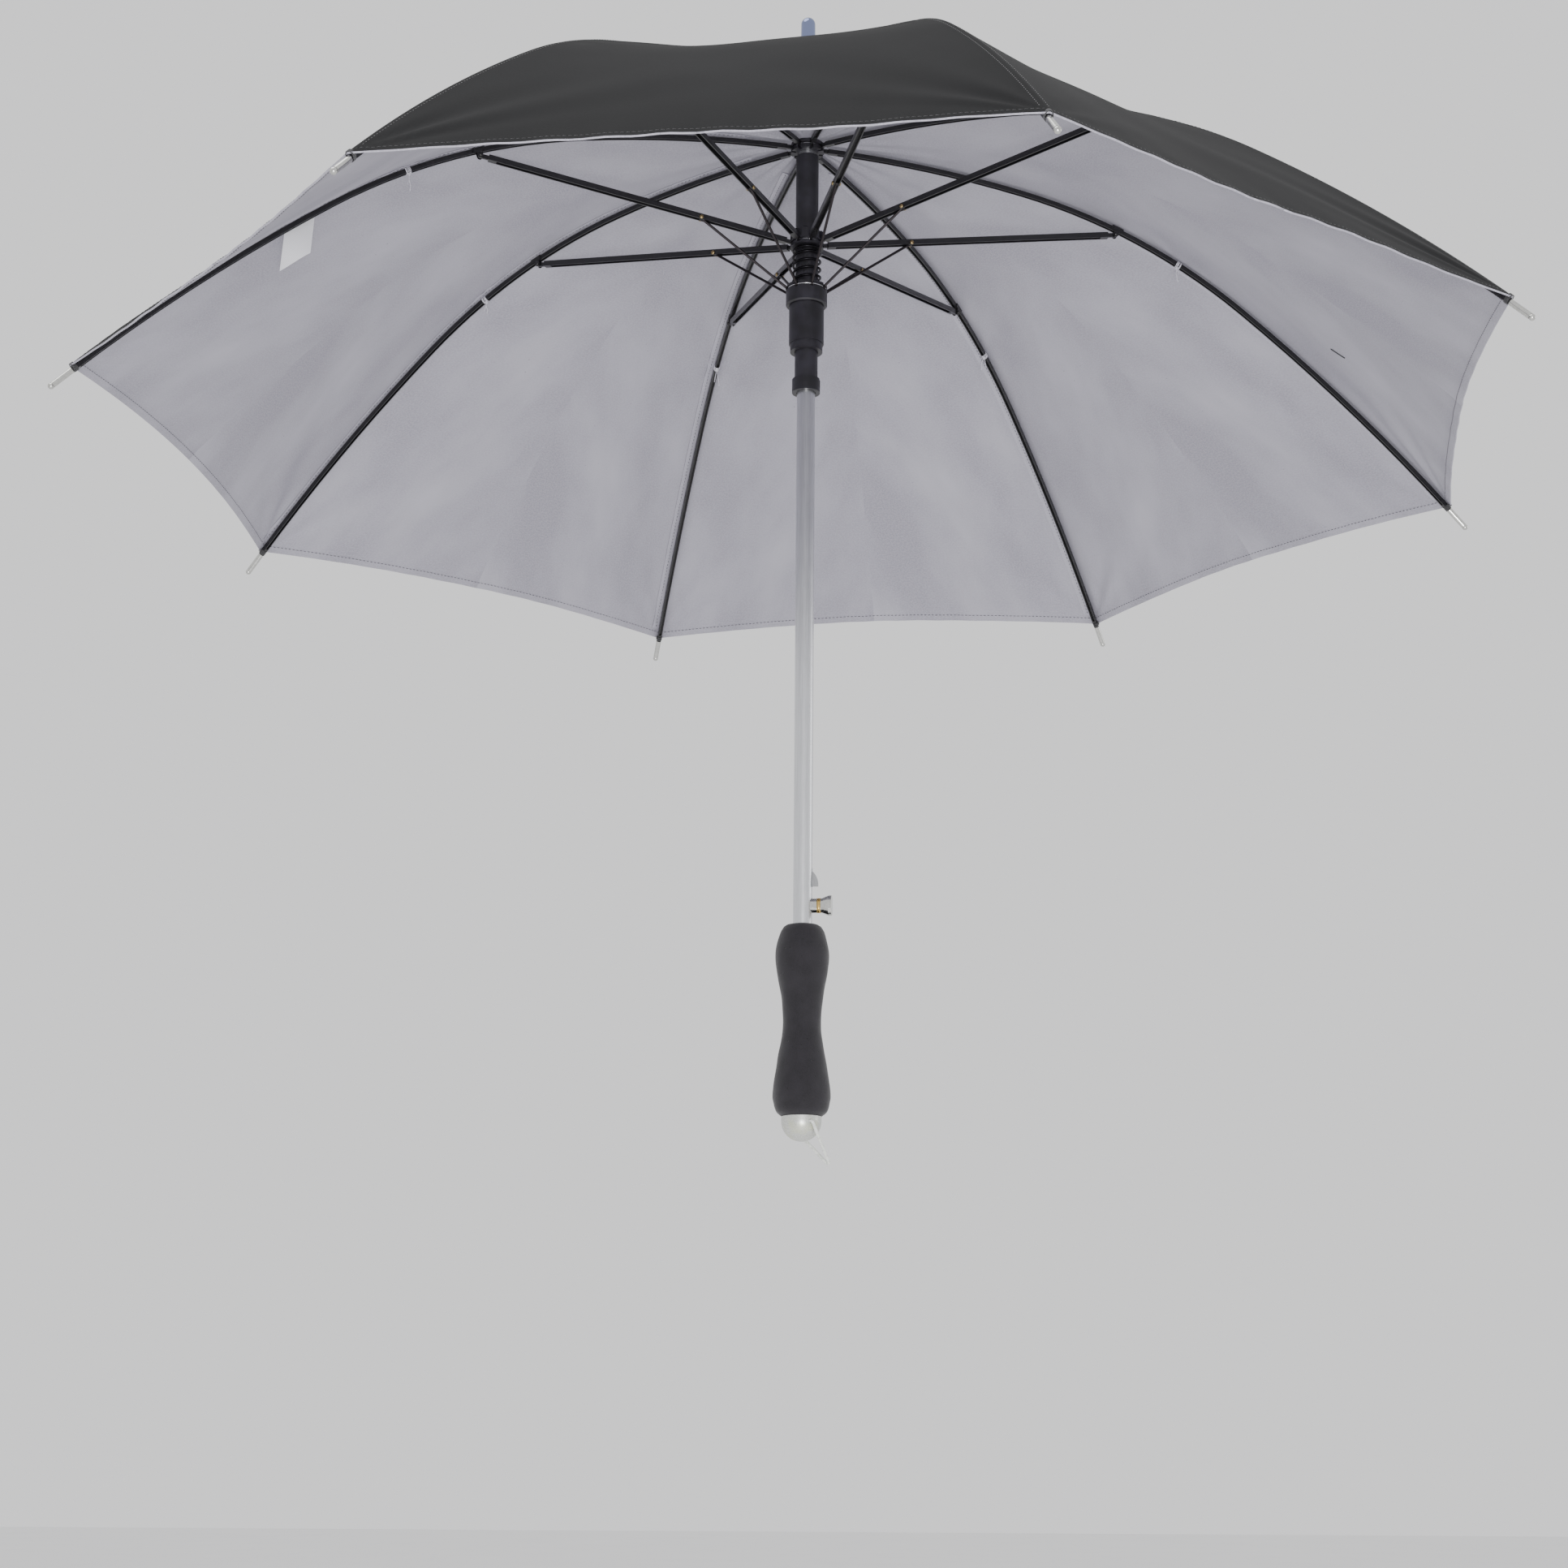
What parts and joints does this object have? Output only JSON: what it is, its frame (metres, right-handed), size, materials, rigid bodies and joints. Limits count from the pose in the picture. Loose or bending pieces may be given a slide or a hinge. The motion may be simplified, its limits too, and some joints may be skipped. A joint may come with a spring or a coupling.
{
  "type": "stick umbrella",
  "caption": "Automatic stick umbrella drawn open: domed cloth on folding ribs, sliding runner with spring collar, shaft with release button, foam grip and wire loop.",
  "frame": {"origin": "on the shaft's axis at the waist of the grip", "axes": "+Z along the shaft to the ferrule; +X to the side of the release button"},
  "size_m": [1.0004, 1.0004, 0.8407],
  "materials": {
    "satin_aluminium": "drawn tube, satin anodised",
    "ferrule_metal": "turned, satin below and polished above",
    "black_nylon": "moulded nylon, low sheen",
    "binding_wire": "bright drawn wire",
    "black_pongee": "black polyester outside, silver coating inside",
    "foam_grip": "closed-cell foam with open pores on its skin",
    "silver_plastic": "silver lacquered moulding",
    "white_wire": "pale coated wire",
    "grey_nylon": "moulded insert",
    "catch_steel": "stamped steel",
    "button_metal": "plated button",
    "spring_steel": "spring wire",
    "black_spring": "black oxide spring wire",
    "black_lacquer": "black lacquer on steel channel",
    "tip_chrome": "plated tip",
    "strut_wire": "dark steel wire"
  },
  "bodies": {
    "shaft": {"shaft_tube": "satin_aluminium", "crown_notch": "black_nylon", "crown_wire": "binding_wire", "ferrule": "ferrule_metal", "canopy_rosette": "black_pongee", "grip_foam": "foam_grip", "end_ball": "silver_plastic", "latch_body": "grey_nylon", "button_spring": "spring_steel"},
    "rib_arm_1": {"rib_1": "black_lacquer", "rib_tip_1": "tip_chrome", "canopy_sector_1": "black_pongee"},
    "rib_arm_2": {"rib_2": "black_lacquer", "rib_tip_2": "tip_chrome", "canopy_sector_2": "black_pongee"},
    "rib_arm_3": {"rib_3": "black_lacquer", "rib_tip_3": "tip_chrome", "canopy_sector_3": "black_pongee"},
    "rib_arm_4": {"rib_4": "black_lacquer", "rib_tip_4": "tip_chrome", "canopy_sector_4": "black_pongee"},
    "rib_arm_5": {"rib_5": "black_lacquer", "rib_tip_5": "tip_chrome", "canopy_sector_5": "black_pongee"},
    "rib_arm_6": {"rib_6": "black_lacquer", "rib_tip_6": "tip_chrome", "canopy_sector_6": "black_pongee"},
    "rib_arm_7": {"rib_7": "black_lacquer", "rib_tip_7": "tip_chrome", "canopy_sector_7": "black_pongee"},
    "rib_arm_8": {"rib_8": "black_lacquer", "rib_tip_8": "tip_chrome", "canopy_sector_8": "black_pongee"},
    "stretcher_arm_1": {"stretcher_1": "black_lacquer"},
    "stretcher_arm_2": {"stretcher_2": "black_lacquer"},
    "stretcher_arm_3": {"stretcher_3": "black_lacquer"},
    "stretcher_arm_4": {"stretcher_4": "black_lacquer"},
    "stretcher_arm_5": {"stretcher_5": "black_lacquer"},
    "stretcher_arm_6": {"stretcher_6": "black_lacquer"},
    "stretcher_arm_7": {"stretcher_7": "black_lacquer"},
    "stretcher_arm_8": {"stretcher_8": "black_lacquer"},
    "strut_arm_1": {"strut_1": "strut_wire"},
    "strut_arm_2": {"strut_2": "strut_wire"},
    "strut_arm_3": {"strut_3": "strut_wire"},
    "strut_arm_4": {"strut_4": "strut_wire"},
    "strut_arm_5": {"strut_5": "strut_wire"},
    "strut_arm_6": {"strut_6": "strut_wire"},
    "strut_arm_7": {"strut_7": "strut_wire"},
    "strut_arm_8": {"strut_8": "strut_wire"},
    "runner": {"runner_tube": "black_nylon", "stretcher_ring": "black_nylon", "ring_wire": "binding_wire"},
    "spring_collar": {"collar": "black_nylon", "spring_sleeve": "black_nylon", "collar_wire": "binding_wire", "opening_spring": "black_spring"},
    "button": {"release_button": "button_metal"},
    "catch": {"runner_catch": "catch_steel"},
    "loop": {"carry_loop": "white_wire"}
  },
  "joints": [
    {"name": "rib_1_fold", "type": "hinge", "parent": "shaft", "child": "rib_arm_1", "pos_m": [0.01015, 0.00269, 0.6435], "axis": [-0.256, 0.9667, 0], "range_deg": [0, 61.8], "stiffness_Nm_per_rad": 1.5, "springref_deg": -85.94, "deforming": ["canopy_sector_1"]},
    {"name": "rib_2_fold", "type": "hinge", "parent": "shaft", "child": "rib_arm_2", "pos_m": [0.00528, 0.00908, 0.6435], "axis": [-0.8645, 0.5026, 0], "range_deg": [0, 61.8], "deforming": ["canopy_sector_2"]},
    {"name": "rib_3_fold", "type": "hinge", "parent": "shaft", "child": "rib_arm_3", "pos_m": [-0.00269, 0.01015, 0.6435], "axis": [-0.9667, -0.256, 0], "range_deg": [0, 61.8], "deforming": ["canopy_sector_3"]},
    {"name": "rib_4_fold", "type": "hinge", "parent": "shaft", "child": "rib_arm_4", "pos_m": [-0.00908, 0.00528, 0.6435], "axis": [-0.5026, -0.8645, 0], "range_deg": [0, 61.8], "deforming": ["canopy_sector_4"]},
    {"name": "rib_5_fold", "type": "hinge", "parent": "shaft", "child": "rib_arm_5", "pos_m": [-0.01015, -0.00269, 0.6435], "axis": [0.256, -0.9667, 0], "range_deg": [0, 61.8], "deforming": ["canopy_sector_5"]},
    {"name": "rib_6_fold", "type": "hinge", "parent": "shaft", "child": "rib_arm_6", "pos_m": [-0.00528, -0.00908, 0.6435], "axis": [0.8645, -0.5026, 0], "range_deg": [0, 61.8], "deforming": ["canopy_sector_6"]},
    {"name": "rib_7_fold", "type": "hinge", "parent": "shaft", "child": "rib_arm_7", "pos_m": [0.00269, -0.01015, 0.6435], "axis": [0.9667, 0.256, 0], "range_deg": [0, 61.8], "deforming": ["canopy_sector_7"]},
    {"name": "rib_8_fold", "type": "hinge", "parent": "shaft", "child": "rib_arm_8", "pos_m": [0.00908, -0.00528, 0.6435], "axis": [0.5026, 0.8645, 0], "range_deg": [0, 61.8], "deforming": ["canopy_sector_8"]},
    {"name": "stretcher_1_swing", "type": "hinge", "parent": "rib_arm_1", "child": "stretcher_arm_1", "pos_m": [0.23009, 0.06092, 0.60603], "axis": [-0.256, 0.9667, 0], "range_deg": [-123.6, 0]},
    {"name": "stretcher_2_swing", "type": "hinge", "parent": "rib_arm_2", "child": "stretcher_arm_2", "pos_m": [0.11962, 0.20578, 0.60603], "axis": [-0.8645, 0.5026, 0], "range_deg": [-123.6, 0]},
    {"name": "stretcher_3_swing", "type": "hinge", "parent": "rib_arm_3", "child": "stretcher_arm_3", "pos_m": [-0.06092, 0.23009, 0.60603], "axis": [-0.9667, -0.256, 0], "range_deg": [-123.6, 0]},
    {"name": "stretcher_4_swing", "type": "hinge", "parent": "rib_arm_4", "child": "stretcher_arm_4", "pos_m": [-0.20578, 0.11962, 0.60603], "axis": [-0.5026, -0.8645, 0], "range_deg": [-123.6, 0]},
    {"name": "stretcher_5_swing", "type": "hinge", "parent": "rib_arm_5", "child": "stretcher_arm_5", "pos_m": [-0.23009, -0.06092, 0.60603], "axis": [0.256, -0.9667, 0], "range_deg": [-123.6, 0]},
    {"name": "stretcher_6_swing", "type": "hinge", "parent": "rib_arm_6", "child": "stretcher_arm_6", "pos_m": [-0.11962, -0.20578, 0.60603], "axis": [0.8645, -0.5026, 0], "range_deg": [-123.6, 0]},
    {"name": "stretcher_7_swing", "type": "hinge", "parent": "rib_arm_7", "child": "stretcher_arm_7", "pos_m": [0.06092, -0.23009, 0.60603], "axis": [0.9667, 0.256, 0], "range_deg": [-123.6, 0]},
    {"name": "stretcher_8_swing", "type": "hinge", "parent": "rib_arm_8", "child": "stretcher_arm_8", "pos_m": [0.20578, -0.11962, 0.60603], "axis": [0.5026, 0.8645, 0], "range_deg": [-123.6, 0]},
    {"name": "strut_1_swing", "type": "hinge", "parent": "stretcher_arm_1", "child": "strut_arm_1", "pos_m": [0.07596, 0.02011, 0.57916], "axis": [-0.256, 0.9667, 0], "range_deg": [0, 21.69]},
    {"name": "strut_2_swing", "type": "hinge", "parent": "stretcher_arm_2", "child": "strut_arm_2", "pos_m": [0.03949, 0.06794, 0.57916], "axis": [-0.8645, 0.5026, 0], "range_deg": [0, 21.69]},
    {"name": "strut_3_swing", "type": "hinge", "parent": "stretcher_arm_3", "child": "strut_arm_3", "pos_m": [-0.02011, 0.07596, 0.57916], "axis": [-0.9667, -0.256, 0], "range_deg": [0, 21.69]},
    {"name": "strut_4_swing", "type": "hinge", "parent": "stretcher_arm_4", "child": "strut_arm_4", "pos_m": [-0.06794, 0.03949, 0.57916], "axis": [-0.5026, -0.8645, 0], "range_deg": [0, 21.69]},
    {"name": "strut_5_swing", "type": "hinge", "parent": "stretcher_arm_5", "child": "strut_arm_5", "pos_m": [-0.07596, -0.02011, 0.57916], "axis": [0.256, -0.9667, 0], "range_deg": [0, 21.69]},
    {"name": "strut_6_swing", "type": "hinge", "parent": "stretcher_arm_6", "child": "strut_arm_6", "pos_m": [-0.03949, -0.06794, 0.57916], "axis": [0.8645, -0.5026, 0], "range_deg": [0, 21.69]},
    {"name": "strut_7_swing", "type": "hinge", "parent": "stretcher_arm_7", "child": "strut_arm_7", "pos_m": [0.02011, -0.07596, 0.57916], "axis": [0.9667, 0.256, 0], "range_deg": [0, 21.69]},
    {"name": "strut_8_swing", "type": "hinge", "parent": "stretcher_arm_8", "child": "strut_arm_8", "pos_m": [0.06794, -0.03949, 0.57916], "axis": [0.5026, 0.8645, 0], "range_deg": [0, 21.69]},
    {"name": "runner_travel", "type": "hinge", "parent": "stretcher_arm_1", "child": "runner", "pos_m": [0.01015, 0.00269, 0.56855], "axis": [-0.256, 0.9667, 0], "range_deg": [0, 61.8]},
    {"name": "collar_slide", "type": "slide", "parent": "runner", "child": "spring_collar", "axis": [0, 0, 1], "range_m": [0, 0.02378], "deforming": ["opening_spring"]},
    {"name": "button_press", "type": "slide", "parent": "shaft", "child": "button", "axis": [-0.9911, 0.1335, 0], "range_m": [0, 0.0052], "stiffness_N_per_m": 600, "springref_m": -0.002, "deforming": ["button_spring"]},
    {"name": "catch_release", "type": "hinge", "parent": "shaft", "child": "catch", "pos_m": [0.0005, -0.00007, 0.133], "axis": [0.1335, 0.9911, 0], "range_deg": [0, 6.6]},
    {"name": "loop_swing", "type": "hinge", "parent": "shaft", "child": "loop", "pos_m": [0, 0, -0.0645], "axis": [0.4384, -0.8988, 0], "range_deg": [-120, 45]}
  ],
  "couplings": [
    {"joint": "rib_2_fold", "follows": "rib_1_fold", "ratio": 1},
    {"joint": "rib_3_fold", "follows": "rib_1_fold", "ratio": 1},
    {"joint": "rib_4_fold", "follows": "rib_1_fold", "ratio": 1},
    {"joint": "rib_5_fold", "follows": "rib_1_fold", "ratio": 1},
    {"joint": "rib_6_fold", "follows": "rib_1_fold", "ratio": 1},
    {"joint": "rib_7_fold", "follows": "rib_1_fold", "ratio": 1},
    {"joint": "rib_8_fold", "follows": "rib_1_fold", "ratio": 1},
    {"joint": "stretcher_1_swing", "follows": "rib_1_fold", "ratio": -2},
    {"joint": "stretcher_2_swing", "follows": "rib_1_fold", "ratio": -2},
    {"joint": "stretcher_3_swing", "follows": "rib_1_fold", "ratio": -2},
    {"joint": "stretcher_4_swing", "follows": "rib_1_fold", "ratio": -2},
    {"joint": "stretcher_5_swing", "follows": "rib_1_fold", "ratio": -2},
    {"joint": "stretcher_6_swing", "follows": "rib_1_fold", "ratio": -2},
    {"joint": "stretcher_7_swing", "follows": "rib_1_fold", "ratio": -2},
    {"joint": "stretcher_8_swing", "follows": "rib_1_fold", "ratio": -2},
    {"joint": "strut_1_swing", "follows": "rib_1_fold", "ratio": 0.35089},
    {"joint": "strut_2_swing", "follows": "rib_1_fold", "ratio": 0.35089},
    {"joint": "strut_3_swing", "follows": "rib_1_fold", "ratio": 0.35089},
    {"joint": "strut_4_swing", "follows": "rib_1_fold", "ratio": 0.35089},
    {"joint": "strut_5_swing", "follows": "rib_1_fold", "ratio": 0.35089},
    {"joint": "strut_6_swing", "follows": "rib_1_fold", "ratio": 0.35089},
    {"joint": "strut_7_swing", "follows": "rib_1_fold", "ratio": 0.35089},
    {"joint": "strut_8_swing", "follows": "rib_1_fold", "ratio": 0.35089},
    {"joint": "runner_travel", "follows": "rib_1_fold", "ratio": 1},
    {"joint": "collar_slide", "follows": "rib_1_fold", "m_per_rad": 0.022039},
    {"joint": "catch_release", "follows": "button_press", "rad_per_m": 22.15}
  ]
}
